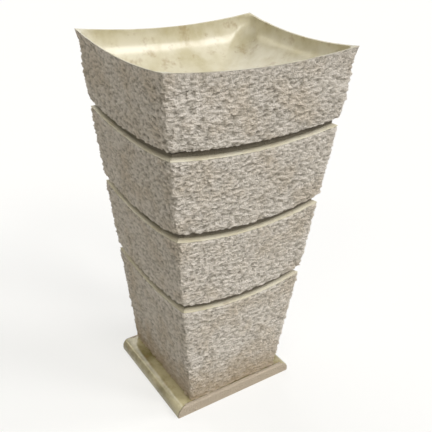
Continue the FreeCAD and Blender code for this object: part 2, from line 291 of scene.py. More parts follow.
# The crystals, half a millimetre across, are drawn coarser and deeper, so that they show
CRYSTAL_SIZE = 3.6 * MM
CRYSTAL_DEPTH = 7 * MM
CRYSTAL_DETAIL = 3.0
CRYSTAL_ROUGHNESS = 0.6
# How rough marble is where the chisel broke it, in the dish and on the plinth, and the wax over its polish
MARBLE_IOR = 1.5
BROKEN_ROUGHNESS = 0.82
DISH_ROUGHNESS = 0.3
PLINTH_ROUGHNESS = 0.17
WAX_WEIGHT = 0.2
WAX_ROUGHNESS = 0.14


def pattern_share(tree, place, pattern):
    """How strongly a pattern of the marble shows at each place."""
    noise = add_node(tree, "ShaderNodeTexNoise", inputs={
        "Vector": place, "Scale": 1 / pattern.size, "Detail": pattern.detail, "Roughness": pattern.roughness})
    return add_node(tree, "ShaderNodeMapRange", {"interpolation_type": "SMOOTHSTEP"}, {
        "Value": noise, "From Min": pattern.start, "From Max": pattern.full, "To Max": pattern.strength})


def polished_colour(tree, place, colours, pale, clouded):
    """Polished marble: a pale ground with clouds, stained brown in places."""
    ground = add_node(tree, "ShaderNodeMix", {"data_type": "RGBA"}, {
        0: pattern_share(tree, place, CLOUDS), 6: tuple(pale), 7: tuple(clouded)})
    stained = add_node(tree, "ShaderNodeMix", {"data_type": "RGBA"}, {
        0: pattern_share(tree, place, STAINS), 6: ground.outputs[2], 7: tuple(colours.polished_brown)})
    return stained.outputs[2]


def broken_colour(tree, place, colours, layers):
    """Broken marble: pale where fresh, warmer in drifts, darker in deep chips with dust and painted shade and
    in the grooves with painted shade, and warmer and darker towards the bottom of the foot.
    """
    fresh = add_node(tree, "ShaderNodeMix", {"data_type": "RGBA"}, {
        0: pattern_share(tree, place, IRON_DRIFTS),
        6: tuple(colours.rough_pale), 7: tuple(colours.rough_warm)})
    # Dust and painted shade darken the chips' hollows; painted shade darkens the grooves' necks and shoulders
    in_chips = add_node(tree, "ShaderNodeMapRange", {"interpolation_type": "SMOOTHSTEP"}, {
        "Value": layers["recess"], "From Min": DUST_START, "From Max": DUST_FULL, "To Max": DUST_STRENGTH})
    dust = add_node(tree, "ShaderNodeMath", {"operation": "MAXIMUM"}, {0: in_chips, 1: layers["dusty"]})
    dusty = add_node(tree, "ShaderNodeMix", {"data_type": "RGBA"}, {
        0: dust, 6: fresh.outputs[2], 7: tuple(colours.rough_recess)})
    # Warmer and darker towards the bottom of the foot
    splashes = add_node(tree, "ShaderNodeTexNoise", inputs={
        "Vector": place, "Scale": 1 / SOIL_SIZE, "Detail": SOIL_DETAIL})
    height = add_node(tree, "ShaderNodeSeparateXYZ", inputs={0: place})
    ragged = add_node(tree, "ShaderNodeMath", {"operation": "MULTIPLY_ADD"}, {
        0: splashes, 1: -SOIL_HEIGHT, 2: height.outputs["Z"]})
    soil = add_node(tree, "ShaderNodeMapRange", {"interpolation_type": "SMOOTHSTEP"}, {
        "Value": ragged, "From Min": SOIL_HEIGHT, "From Max": -SOIL_HEIGHT / 2, "To Max": SOIL_STRENGTH})
    soiled = add_node(tree, "ShaderNodeMix", {"data_type": "RGBA"}, {
        0: soil, 6: dusty.outputs[2], 7: tuple(colours.rough_soil)})
    return soiled.outputs[2]


def crystal_bump(tree, place, polished):
    """The crystals of broken marble, which polishing takes off."""
    crystals = add_node(tree, "ShaderNodeTexNoise", inputs={
        "Vector": place, "Scale": 1 / CRYSTAL_SIZE, "Detail": CRYSTAL_DETAIL, "Roughness": CRYSTAL_ROUGHNESS})
    broken = add_node(tree, "ShaderNodeMapRange", inputs={"Value": polished, "To Min": 1.0, "To Max": 0.0})
    grain = add_node(tree, "ShaderNodeMath", {"operation": "MULTIPLY"}, {0: crystals, 1: broken})
    return add_node(tree, "ShaderNodeBump", inputs={
        "Strength": 1.0, "Distance": CRYSTAL_DEPTH, "Height": grain})


def marble(name, pale, clouded, polish_roughness):
    """Marble: hand-polished and waxed where it is smooth, crystalline and matt where the chisel broke it."""
    found = bpy.data.materials.get(name)
    if found:
        return found
    colours = bpy.context.scene.planter_colours
    material, tree = fresh_material(name)
    layers = {}
    # One layer paints shade into the grooves' necks and shoulders; recess darkens the chips' hollows with
    # dust and painted shade
    for layer in ("polished", "sawn", "dusty", "recess"):
        layers[layer] = add_node(tree, "ShaderNodeAttribute", {"attribute_name": layer}).outputs["Fac"]
    place = add_node(tree, "ShaderNodeTexCoord").outputs["Object"]
    # A saw leaves the stone even, warm and matt
    cut = add_node(tree, "ShaderNodeMix", {"data_type": "RGBA"}, {
        0: layers["sawn"], 6: broken_colour(tree, place, colours, layers), 7: tuple(colours.sawn)})
    base = add_node(tree, "ShaderNodeMix", {"data_type": "RGBA"}, {
        0: layers["polished"], 6: cut.outputs[2], 7: polished_colour(tree, place, colours, pale, clouded)})
    gloss = add_node(tree, "ShaderNodeMapRange", inputs={
        "Value": layers["polished"], "To Min": BROKEN_ROUGHNESS, "To Max": polish_roughness})
    wax = add_node(tree, "ShaderNodeMath", {"operation": "MULTIPLY"}, {0: layers["polished"], 1: WAX_WEIGHT})
    shader = add_node(tree, "ShaderNodeBsdfPrincipled", inputs={
        "Base Color": base.outputs[2], "Roughness": gloss, "IOR": MARBLE_IOR,
        "Coat Weight": wax, "Coat Roughness": WAX_ROUGHNESS})
    finish_material(tree, shader, crystal_bump(tree, place, layers["polished"]))
    return material


# Finishes of the fittings and the beds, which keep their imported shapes

Finish = namedtuple("Finish", "name colour roughness metallic grain_size grain_depth",
                    defaults=(0.0, 3 * MM, 0.05 * MM))
# Struck off with a trowel: dull grey, with sand standing in its face
CEMENT = Finish("Trowelled cement", "setting", 0.9, grain_size=1.5 * MM, grain_depth=0.4 * MM)
# Rolled and pickled: grey metal with a soft sheen
STEEL = Finish("Rolled stainless steel", "steel", 0.35, metallic=1.0)
# Plated over buffed brass: close to a mirror, a little uneven
CHROME = Finish("Chromed brass", "chrome", 0.14, metallic=1.0)
# Turned on a lathe and left bare: yellow and half bright
BRASS = Finish("Turned brass", "brass", 0.3, metallic=1.0)
# Moulded: black and dull, with a fine skin
RUBBER = Finish("Moulded rubber", "rubber", 0.65, grain_size=2 * MM, grain_depth=0.08 * MM)
# Extruded: grey, smooth and satin
PVC = Finish("Extruded PVC", "plastic", 0.4)
# Tone at the darkest and palest mottling, and how far the gloss strays from its middle
MOTTLE_TONES = (0.86, 1.1)
GLOSS_STRAY = 0.2
GRAIN_DETAIL = 3.0
GRAIN_STRENGTH = 0.5


def plain_finish(finish):
    """A material with faint mottling and a shallow grain, for the metals, the rubber, the PVC and cement."""
    material, tree = fresh_material(finish.name)
    colours = bpy.context.scene.planter_colours
    base_colour = tuple(getattr(colours, finish.colour))[:3]
    place = add_node(tree, "ShaderNodeTexCoord").outputs["Object"]
    mottling = add_node(tree, "ShaderNodeTexNoise", inputs={
        "Vector": place, "Scale": 1 / finish.grain_size, "Detail": GRAIN_DETAIL})
    tone = add_node(tree, "ShaderNodeMapRange", inputs={
        "Value": mottling, "To Min": MOTTLE_TONES[0], "To Max": MOTTLE_TONES[1]})
    base = add_node(tree, "ShaderNodeVectorMath", {"operation": "MULTIPLY"}, {0: base_colour, 1: tone})
    gloss = add_node(tree, "ShaderNodeMapRange", inputs={
        "Value": mottling, "To Min": finish.roughness * (1 - GLOSS_STRAY),
        "To Max": min(1.0, finish.roughness * (1 + GLOSS_STRAY))})
    shader = add_node(tree, "ShaderNodeBsdfPrincipled", inputs={
        "Base Color": base, "Roughness": gloss, "Metallic": finish.metallic})
    bump = add_node(tree, "ShaderNodeBump", inputs={
        "Strength": GRAIN_STRENGTH, "Distance": finish.grain_depth, "Height": mottling})
    finish_material(tree, shader, bump)
    return material


def refinish(names, finish):
    """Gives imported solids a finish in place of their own."""
    material = plain_finish(finish)
    for name in names:
        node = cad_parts[name]
        if not node.material_slots:
            node.data.materials.append(material)
        for slot in node.material_slots:
            slot.material = material


# Stones as rings of points

# A column's side points outward, its along runs anticlockwise, and its share goes from -1 to 1 along the side
Column = namedtuple("Column", "side along share")
# How far each point of a ring is chiselled, with chips that may stand proud of the flat face, pitched back,
# polished, sawn, darkened with painted shade, and wavy from hand polishing
FINISHES = ("dressed", "proud", "pitched", "polished", "sawn", "dusty", "dished")
Ring = namedtuple("Ring", ("place", *FINISHES), defaults=(0.0,) * len(FINISHES))


def perimeter_columns(along_counts):
    """Upright columns round the trunk, anticlockwise from the front left corner."""
    columns = []
    for index, side in enumerate(SIDES):
        count = along_counts[index % 2]
        along = Vector((-side.y, side.x)).freeze()
        for step in range(count):
            columns.append(Column(side, along, 2 * step / count - 1))
    return columns


def reach_of(direction, half):
    """Half of a rectangle's size in one level direction."""
    return abs(direction.x) * half.x + abs(direction.y) * half.y


def outline_point(column, half, height, corner_radius=0.0):
    """Where a column meets a level rectangle with round corners."""
    reach = reach_of(column.along, half)
    out = reach_of(column.side, half)
    radius = min(corner_radius, reach, out)
    distance = abs(column.share) * reach
    past_straight = distance - (reach - radius)
    if radius > 0 and past_straight > 0:
        turn = past_straight / radius * math.pi / 4
        distance = reach - radius + radius * math.sin(turn)
        out += radius * (math.cos(turn) - 1)
    point = column.side * out + column.along * math.copysign(distance, column.share)
    return Vector((point.x, point.y, height))


def sag_height(corner_height, sag, reach, distance):
    """Height of an arc that hangs between two corners, at a distance from its middle."""
    radius = (reach ** 2 + sag ** 2) / (2 * sag)
    return corner_height - sag + radius - math.sqrt(radius ** 2 - min(distance, reach) ** 2)


def ring_mesh(name, columns, rings, arris_band):
    """A closed skin over rings that follow one another round a section, with the finish of each point."""
    points = []
    inward = []
    layers = {layer: [] for layer in (*FINISHES, "arris")}
    for ring in rings:
        for column in columns:
            point = ring.place(column)
            points.append(point)
            direction = column.side + column.along * column.share
            inward.extend((-direction.x, -direction.y, 0.0))
            off_middle = abs(column.share)
            from_arris = abs(point.xy.dot(column.along)) * (1 / off_middle - 1) if off_middle else math.inf
            layers["arris"].append(max(0.0, 1 - from_arris / arris_band))
            for finish in FINISHES:
                value = getattr(ring, finish)
                layers[finish].append(value(column) if callable(value) else value)
    mesh = bpy.data.meshes.new(name)
    mesh.from_pydata(points, [], ring_faces(len(columns), len(rings)))
    mesh.attributes.new("inward", "FLOAT_VECTOR", "POINT").data.foreach_set("vector", inward)
    for layer, values in layers.items():
        mesh.attributes.new(layer, "FLOAT", "POINT").data.foreach_set("value", values)
    mesh.shade_smooth()
    return mesh


def ring_faces(around, ring_count):
    """Faces between each ring and the next, and between the last and the first."""
    faces = []
    for ring in range(ring_count):
        low = ring * around
        high = (ring + 1) % ring_count * around
        for step in range(around):
            after = (step + 1) % around
            faces.append((low + step, low + after, high + after, high + step))
    return faces


# Plinth

# Width of a mesh face round the plinth, and mesh faces up its rounded ledges
PLINTH_SPACING = 4 * MM
PLINTH_ROUND_STEPS = 16
PLINTH_SHARP_ANGLE = math.radians(30)


def plinth_rings(sizes, half, thickness):
    """The plinth's sides with their rounded or eased edges, its top beside the foot, and its hole."""
    straight = half.x - sizes.plinth_round
    round_foot = thickness - sizes.plinth_round
    ease_foot = thickness - sizes.plinth_ease
    heights = [0.0, round_foot, ease_foot]
    for step in range(1, PLINTH_ROUND_STEPS + 1):
        heights.append(round_foot + sizes.plinth_round * math.sin(math.pi / 2 * step / PLINTH_ROUND_STEPS))
    rings = []
    for height in sorted(heights):
        climb = max(0.0, height - round_foot)
        half_x = straight + math.sqrt(max(0.0, sizes.plinth_round ** 2 - climb ** 2))
        outline = Vector((half_x, half.y - max(0.0, height - ease_foot)))
        rings.append(Ring(
            lambda column, outline=outline, height=height: outline_point(
                column, outline, height, sizes.plinth_corner),
            polished=lambda column: abs(column.side.x), sawn=lambda column: abs(column.side.y)))
    foot_half = Trunk(sizes).half(thickness).y
    for half_y, polish in ((foot_half + sizes.plinth_joint, 0.0), (foot_half, 1.0)):
        rings.append(Ring(
            lambda column, half_y=half_y: outline_point(column, Vector((straight, half_y)), thickness),
            polished=lambda column, polish=polish: max(polish, abs(column.side.x)), sawn=1 - polish))
    hole = Vector((sizes.plinth_hole, sizes.plinth_hole))
    for height in (thickness, 0.0):
        rings.append(Ring(lambda column, height=height: outline_point(
            column, hole, height, sizes.plinth_hole), polished=1.0))
    return rings


# Trunk: what the courses have in common

# A groove's height at the corners, its sag, the top of the neck inside it, and the seat of the course above
Groove = namedtuple("Groove", "corner sag bed seat")
# A face's bottom and top lines, its height at the corners, and the columns and rows of its mesh
RoughFace = namedtuple("RoughFace", "bottom top height columns rows")


class Trunk:
    """The tapering trunk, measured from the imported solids."""

    def __init__(self, sizes):
        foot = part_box("foot_block")[1]
        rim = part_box("bowl_block")[1]
        self.low_height = foot.z - sizes.groove_opening / 2
        self.low_half = foot.xy
        self.rim_height = rim.z
        self.rim_half = rim.xy

    def half(self, height, inset=0.0):
        """Half the size along X and Y at a height, taken in from the rough face."""
        rise_share = (height - self.low_height) / (self.rim_height - self.low_height)
        return self.low_half.lerp(self.rim_half, rise_share) - Vector((inset, inset))

    def point(self, column, height, inset=0.0, corner_radius=0.0):
        """Where a column meets the trunk at a height."""
        return outline_point(column, self.half(height, inset), height, corner_radius)

    def line(self, column, corner, sag):
        """Height at which a column crosses a sagging line on the rough face."""
        reach = reach_of(column.along, self.half(corner))
        return sag_height(corner, sag, reach, abs(column.share) * reach)


def groove_under(sizes, course):
    """The groove under a course, measured from the solids above and below it."""
    below = COURSES[COURSES.index(course) - 1]
    bed_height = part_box(below + "_block")[1].z
    corner = bed_height - sizes.groove_opening / 2
    sag = corner + sizes.groove_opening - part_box(course + "_block")[0].z
    return Groove(corner, sag, bed_height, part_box(course + "_bed")[1].z)


def skirt_rings(sizes, trunk, groove):
    """The socket over a neck, and the height of the skirt's lower edge."""
    def edge_height(column):
        return trunk.line(column, groove.corner, groove.sag) + sizes.groove_opening

    def inset(column):
        return sizes.groove_depth - (sizes.socket_clearance if edge_height(column) < groove.seat else 0.0)

    rings = [
        Ring(lambda column: trunk.point(column, groove.seat, inset(column))),
        Ring(lambda column: trunk.point(column, edge_height(column), inset(column))),
    ]
    return rings, edge_height


def shoulder_rings(sizes, trunk, groove):
    """The polished shoulder under a groove, the neck behind it and the flat bed on top."""
    def line(column):
        return trunk.line(column, groove.corner, groove.sag)

    def neck_foot(column):
        return min(line(column) + sizes.shoulder_rise + sizes.neck_ease, groove.bed)

    rings = []
    # The shoulder darkens towards the neck with painted shade, and the neck and the bed are painted in shade
    # throughout
    for climb in (1 / 3, 2 / 3, 1):
        rings.append(Ring(lambda column, climb=climb: trunk.point(
            column, line(column) + sizes.shoulder_rise * climb, sizes.groove_depth * climb),
            polished=1 - climb * sizes.shoulder_dust, dusty=climb))
    rings.append(Ring(lambda column: trunk.point(column, neck_foot(column), sizes.groove_depth), dusty=1.0))
    rings.append(Ring(lambda column: trunk.point(column, groove.bed, sizes.groove_depth), dusty=1.0))
    return rings, line


def hollow_rings(sizes, trunk, top, bottom):
    """The wall of the hollow, from the top of a course down to its bottom."""
    return [
        Ring(lambda column: trunk.point(column, top, sizes.wall, sizes.hollow_corner)),
        Ring(lambda column: trunk.point(column, bottom, sizes.wall, sizes.hollow_corner)),
    ]


def rough_face(dressing, trunk, low, high, bottom, top):
    """A rough face between two corner heights and two lines, with the columns and rows of its mesh."""
    half = trunk.half((low + high) / 2)
    perimeter = 4 * (half.x + half.y)
    rows = math.sqrt(dressing.face_quads * dressing.row_ratio * (high - low) / perimeter)
    columns = dressing.face_quads / rows
    counts = (round(columns * 2 * half.x / perimeter), round(columns * 2 * half.y / perimeter))
    return RoughFace(bottom, top, high - low, perimeter_columns(counts), round(rows))


def face_rings(dressing, trunk, face, margin_band, proud_band, pitched=1.0):
    """The rough face of a course: pitched back at its foot, and calmer under its polished upper edge."""
    rings = []
    for step in range(face.rows + 1):
        climb = step / face.rows
        from_top = (1 - climb) * face.height
        margin = min(1.0, from_top / margin_band)
        rings.append(Ring(
            lambda column, climb=climb: trunk.point(
                column, face.bottom(column) + (face.top(column) - face.bottom(column)) * climb),
            dressed=dressing.margin_share + (1 - dressing.margin_share) * margin,
            proud=min(1.0, from_top / proud_band),
            pitched=pitched * max(0.0, 1 - climb * face.height / dressing.edge_band),
            polished=1.0 if step == face.rows else 0.0))
    return rings


# Dish

# The slope at the rim itself has no end, so the sine there is kept just over zero
SMALLEST_SINE = 1e-6
# Each step brings a wall's start closer to the sagging rim
RIM_STEPS = 6
# The swells of hand polishing fade towards the rim and the floor, over one part in this many of the wall
CALM_ENDS = 6
# The rebate and the hole are ground, not polished out
REBATE_POLISH = 0.5


class Dish:
    """The polished dish: four walls, each curved like a quarter of an ellipse, over a small level floor."""

    def __init__(self, sizes, trunk):
        self.sizes = sizes
        self.rim_height = trunk.rim_height
        self.rim_half = trunk.rim_half
        self.half = trunk.half(trunk.rim_height, sizes.rim_land)
        self.taper = (trunk.rim_half - trunk.low_half) / (trunk.rim_height - trunk.low_height)
        self.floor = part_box("drain_body")[1].z
        self.depth = trunk.rim_height - self.floor + sizes.floor_drop
        self.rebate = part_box("drain_body")[1].x + sizes.rebate_play
        self.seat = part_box("flange_seal")[0].z

    def outline(self, column, turn, grow=0.0):
        """Where a column meets the wall. The turn runs from none at the rim to a quarter under the floor."""
        run = (self.half.x + self.half.y) / 2 * max(math.sin(turn), SMALLEST_SINE)
        slope = self.depth * math.cos(turn) / run
        # The level rounding that gives the crease its radius across the sloping line where two walls meet
        between_walls = math.acos(1 / (1 + slope ** 2))
        crease = math.tan(between_walls / 2) * math.sqrt((2 + slope ** 2) / (1 + slope ** 2))
        crease *= self.sizes.crease_radius
        crease += self.sizes.dish_rounding * min(self.half) * math.cos(turn) * math.sin(turn)
        distance = abs(column.share) * reach_of(column.along, self.half)
        hang = self.sizes.dish_sag * self.sag(column, distance) * (1 - turn / (math.pi / 2)) ** 2
        half = (self.half - self.taper * hang) * math.cos(turn) + Vector((grow, grow))
        height = self.rim_height - self.depth * math.sin(turn) - hang
        return outline_point(column, half, height, crease + grow)

    def sag(self, column, distance):
        """How far the rim hangs below its corners, at a distance from the middle of a side."""
        reach = reach_of(column.along, self.rim_half)
        return self.rim_height - sag_height(self.rim_height, self.sizes.rim_sag, reach, distance)

    def rim_turn(self, column):
        """The turn at which a column's wall reaches the sagging rim."""
        turn = 0.0
        for _ in range(RIM_STEPS):
            point = self.outline(column, turn)
            missing = point.z - self.rim_height + self.sag(column, abs(point.xy.dot(column.along)))
            turn = math.asin(min(1.0, max(0.0, math.sin(turn) + missing / self.depth)))
        return turn

    def wall_height(self, point):
        """Height of the walls or the floor above a place near the middle."""
        cove_x = self.rim_height - self.depth * math.sqrt(1 - (point.x / self.half.x) ** 2)
        cove_y = self.rim_height - self.depth * math.sqrt(1 - (point.y / self.half.y) ** 2)
        return max(self.floor, cove_x, cove_y)

    def wall_rings(self, columns, ring_count):
        """The narrow land, then the walls down to the rebate for the flange."""
        last_turn = math.acos((self.rebate + self.sizes.floor_drop) / min(self.half))
        rim_turns = {column: self.rim_turn(column) for column in columns}

        def land(column):
            return self.outline(column, rim_turns[column], self.sizes.rim_ease)

        rings = [Ring(land, polished=1.0)]
        for step in range(ring_count + 1):
            share_down = step / ring_count

            def wall(column, share_down=share_down):
                eased = math.asin(math.sin(rim_turns[column]) + self.sizes.rim_ease / self.depth)
                return self.outline(column, eased + (last_turn - eased) * share_down)

            dished = min(1.0, CALM_ENDS * share_down, CALM_ENDS * (1 - share_down))
            rings.append(Ring(wall, polished=1.0, dished=dished))
        return rings

    def drain_hole_rings(self, underside):
        """The rebate for the flange and the hole below it."""
        def circle(column, radius, height):
            return outline_point(column, Vector((radius, radius)), height, radius)

        def edge(column):
            point = circle(column, self.rebate, self.floor)
            point.z = self.wall_height(point)
            return point

        rings = [Ring(edge, polished=1.0)]
        hole = self.sizes.hole_radius
        for radius, height in ((self.rebate, self.seat), (hole, self.seat), (hole, underside)):
            rings.append(Ring(lambda column, radius=radius, height=height: circle(column, radius, height),
                              polished=REBATE_POLISH))
        return rings


# Geometry Nodes rule for the chiselled faces

# Noises over space measured in chips: at a scale of one, each bump is about as long as a chip
WARP = {"Scale": 0.7, "Detail": 2.0}
GRIT = {"Scale": 2.2, "Detail": 2.0}
LUMPS = {"Scale": 0.9, "Detail": 2.0}
WAVES = {"Scale": 0.18, "Detail": 1.0}
WEAR = {"Scale": 0.45, "Detail": 2.0}
# Hand polishing leaves slow swells in the dish, this many to a metre
SWELLS = {"Scale": 11.0, "Detail": 1.0}
# How far, in chips, the warp bends the outline of a chip
WARP_REACH = (1.7, 1.7, 1.7)
# Moves the whole pattern on, by this many chips for each seed
SEED_STEP = (17.3, 9.1, 23.7)
# Size of each layer of scoops beside the largest, and its share of the depth
SCOOP_LAYERS = ((1.0, 0.28), (0.55, 0.18))
# How far from its middle a scoop reaches, in chips
SCOOP_REACH = 0.8
# Shares of the depth that the other marks take, and the noise between which lumps run from none to all
GRIT_SHARE = 0.14
LUMP_SHARE = 0.38
WAVE_SHARE = 0.16
LUMP_RANGE = (0.25, 0.75)
# The solids' flat faces lie at this share of the depth, with chips standing proud of them and cut into them
FACE_SHARE = 0.52
# Chips are calmer along an upright arris
ARRIS_CALM = 0.2
# Wear grows from this share to all of it as its noise crosses this range, and dies away from an edge
LEAST_WEAR = 0.3
WEAR_RANGE = (0.3, 0.7)
WEAR_POWER = 1.8
# Dust and painted shade lie in the chips right up to a polished edge
DUST_GAIN = 4.0
CHIP_SHARP_ANGLE = math.radians(38)


def chip_space(tree, given, place):
    """Places measured in chips, moved on by the seed."""
    chip = add_node(tree, "ShaderNodeCombineXYZ", inputs={
        "X": given["Chip length"], "Y": given["Chip length"], "Z": given["Chip height"]})
    sized = add_node(tree, "ShaderNodeVectorMath", {"operation": "DIVIDE"}, {0: place, 1: chip})
    return add_node(tree, "ShaderNodeVectorMath", {"operation": "MULTIPLY_ADD"}, {
        0: given["Seed"], 1: SEED_STEP, 2: sized})


def chip_marks(tree, chips):
    """How deep the chisel's own marks are: scoops with sharp lips between them, grit, and softer lumps."""
    warp = add_node(tree, "ShaderNodeTexNoise", inputs={"Vector": chips, **WARP})
    warped = add_node(tree, "ShaderNodeVectorMath", {"operation": "MULTIPLY_ADD"}, {
        0: warp.outputs["Color"], 1: WARP_REACH, 2: chips})
    grit = add_node(tree, "ShaderNodeTexNoise", inputs={"Vector": warped, **GRIT})
    marks = add_node(tree, "ShaderNodeMath", {"operation": "MULTIPLY"}, {0: grit, 1: GRIT_SHARE})
    for size_share, depth_share in SCOOP_LAYERS:
        cells = add_node(tree, "ShaderNodeTexVoronoi", inputs={"Vector": warped, "Scale": 1 / size_share})
        scoops = add_node(tree, "ShaderNodeMapRange", inputs={
            "Value": cells, "From Max": SCOOP_REACH, "To Min": depth_share, "To Max": 0.0})
        marks = add_node(tree, "ShaderNodeMath", {"operation": "ADD"}, {0: scoops, 1: marks})
    lumps = add_node(tree, "ShaderNodeTexNoise", inputs={"Vector": chips, **LUMPS})
    lumps_cut = add_node(tree, "ShaderNodeMapRange", inputs={
        "Value": lumps, "From Min": LUMP_RANGE[0], "From Max": LUMP_RANGE[1], "To Max": LUMP_SHARE})
    return add_node(tree, "ShaderNodeMath", {"operation": "ADD"}, {0: lumps_cut, 1: marks})


def dust_in_chips(tree, marks, layers):
    """How deep in a chip each place lies, none where the stone isn't dressed; the colour darkens with it as
    dust and painted shade.
    """
    below_face = add_node(tree, "ShaderNodeMath", {"operation": "SUBTRACT"}, {0: marks, 1: FACE_SHARE})
    rough = add_node(tree, "ShaderNodeMath", {"operation": "MULTIPLY", "use_clamp": True}, {
        0: layers["dressed"], 1: DUST_GAIN})
    return add_node(tree, "ShaderNodeMath", {"operation": "MULTIPLY"}, {0: below_face, 1: rough})


def chip_cut(tree, chips, marks, layers):
    """How much of the chips' depth is cut away: none or less on polish, and calmer along the arrises."""
    waves = add_node(tree, "ShaderNodeTexNoise", inputs={"Vector": chips, **WAVES})
    depth = add_node(tree, "ShaderNodeMath", {"operation": "MULTIPLY_ADD"}, {
        0: waves, 1: WAVE_SHARE, 2: marks})
    behind = add_node(tree, "ShaderNodeMath", {"operation": "MULTIPLY_ADD"}, {
        0: layers["proud"], 1: -FACE_SHARE, 2: depth})
    calm = add_node(tree, "ShaderNodeMath", {"operation": "MULTIPLY_ADD"}, {
        0: layers["arris"], 1: -ARRIS_CALM, 2: 1.0})
    strength = add_node(tree, "ShaderNodeMath", {"operation": "MULTIPLY"}, {0: layers["dressed"], 1: calm})
    return add_node(tree, "ShaderNodeMath", {"operation": "MULTIPLY"}, {0: behind, 1: strength})


def edge_losses(tree, chips, layers):
    """How much is knocked off the upright arrises, more in places, and pitched off the lower edge."""
    chance = add_node(tree, "ShaderNodeTexNoise", inputs={"Vector": chips, **WEAR})
    wear = add_node(tree, "ShaderNodeMapRange", inputs={
        "Value": chance, "From Min": WEAR_RANGE[0], "From Max": WEAR_RANGE[1],
        "To Min": LEAST_WEAR, "To Max": 1.0})
    rounding = add_node(tree, "ShaderNodeMath", {"operation": "POWER"}, {0: layers["arris"], 1: WEAR_POWER})
    worn = add_node(tree, "ShaderNodeMath", {"operation": "MULTIPLY"}, {0: rounding, 1: wear})
    arris_loss = add_node(tree, "ShaderNodeMath", {"operation": "MULTIPLY"}, {0: worn, 1: layers["dressed"]})
    pitch = add_node(tree, "ShaderNodeMath", {"operation": "POWER"}, {0: layers["pitched"], 1: WEAR_POWER})
    pitch_loss = add_node(tree, "ShaderNodeMath", {"operation": "MULTIPLY"}, {0: pitch, 1: wear})
    return arris_loss, pitch_loss


def polish_swells(tree, given, place, layers):
    """How far the hand-polished dish swells out of its true curve."""
    swells = add_node(tree, "ShaderNodeTexNoise", inputs={"Vector": place, **SWELLS})
    either_way = add_node(tree, "ShaderNodeMapRange", inputs={"Value": swells, "To Min": -1.0, "To Max": 1.0})
    height = add_node(tree, "ShaderNodeMath", {"operation": "MULTIPLY"}, {
        0: either_way, 1: given["Undulation"]})
    return add_node(tree, "ShaderNodeMath", {"operation": "MULTIPLY"}, {0: height, 1: layers["dished"]})


def chiselled_face_tree():
    """A rule that scoops chips out of the dressed faces and leaves a hand-polished dish slightly wavy."""
    tree = bpy.data.node_groups.new("Chiselled face", "GeometryNodeTree")
    tree.interface.new_socket("Geometry", in_out="OUTPUT", socket_type="NodeSocketGeometry")
    tree.interface.new_socket("Geometry", in_out="INPUT", socket_type="NodeSocketGeometry")
    for name in ("Chip length", "Chip height", "Chip depth", "Arris wear", "Edge pitch", "Undulation"):
        tree.interface.new_socket(name, in_out="INPUT", socket_type="NodeSocketFloat")
    tree.interface.new_socket("Seed", in_out="INPUT", socket_type="NodeSocketInt")
    tree.interface.new_socket("Stone", in_out="INPUT", socket_type="NodeSocketMaterial")
    given = add_node(tree, "NodeGroupInput").outputs
    layers = {}
    for name in ("dressed", "proud", "pitched", "arris", "dished"):
        layers[name] = add_node(tree, "GeometryNodeInputNamedAttribute", {"data_type": "FLOAT"}, {
            "Name": name})

    place = add_node(tree, "GeometryNodeInputPosition")
    chips = chip_space(tree, given, place)
    marks = chip_marks(tree, chips)
    recess = dust_in_chips(tree, marks, layers)
    arris_loss, pitch_loss = edge_losses(tree, chips, layers)
    inset = add_node(tree, "ShaderNodeMath", {"operation": "MULTIPLY"}, {
        0: pitch_loss, 1: given["Edge pitch"]})
    inset = add_node(tree, "ShaderNodeMath", {"operation": "MULTIPLY_ADD"}, {
        0: arris_loss, 1: given["Arris wear"], 2: inset})
    inset = add_node(tree, "ShaderNodeMath", {"operation": "MULTIPLY_ADD"}, {
        0: chip_cut(tree, chips, marks, layers), 1: given["Chip depth"], 2: inset})
    inward = add_node(tree, "GeometryNodeInputNamedAttribute", {"data_type": "FLOAT_VECTOR"}, {
        "Name": "inward"})
    cut = add_node(tree, "ShaderNodeVectorMath", {"operation": "MULTIPLY"}, {0: inward, 1: inset})
    outward = add_node(tree, "GeometryNodeInputNormal")
    offset = add_node(tree, "ShaderNodeVectorMath", {"operation": "MULTIPLY_ADD"}, {
        0: outward, 1: polish_swells(tree, given, place, layers), 2: cut})

    kept = add_node(tree, "GeometryNodeStoreNamedAttribute", {"data_type": "FLOAT", "domain": "POINT"}, {
        "Geometry": given["Geometry"], "Name": "recess", "Value": recess})
    carved = add_node(tree, "GeometryNodeSetPosition", inputs={"Geometry": kept, "Offset": offset})
    real = add_node(tree, "GeometryNodeRealizeInstances", inputs={"Geometry": carved})
    stone = add_node(tree, "GeometryNodeSetMaterial", inputs={"Geometry": real, "Material": given["Stone"]})
    add_node(tree, "NodeGroupOutput", inputs={"Geometry": stone})
    return tree


def dress_course(node, columns, rings, dressing):
    """Makes a course from its rings, chisels its rough faces and hands it to the frame."""
    colours = bpy.context.scene.planter_colours
    name = node + "_stone"
    piece = add_piece(name, ring_mesh(name, columns, rings, dressing.arris_band))
    modifier = piece.modifiers.new("Chiselled face", "NODES")
    tree = bpy.data.node_groups.get("Chiselled face") or chiselled_face_tree()
    modifier.node_group = tree
    values = {
        "Chip length": dressing.chip_length, "Chip height": dressing.chip_height,
        "Chip depth": dressing.chip_depth, "Arris wear": dressing.arris_wear,
        "Edge pitch": dressing.edge_pitch, "Undulation": dressing.undulation, "Seed": dressing.seed,
        "Stone": marble("Cream marble", colours.polished_pale, colours.polished_khaki, DISH_ROUGHNESS),
    }
    for socket in tree.interface.items_tree:
        if socket.in_out == "INPUT" and socket.name in values:
            modifier[socket.identifier] = values[socket.name]
    settle_modifier(piece, modifier, CHIP_SHARP_ANGLE)
    place_piece(piece, node)


# Operators: one for each piece or group of like pieces

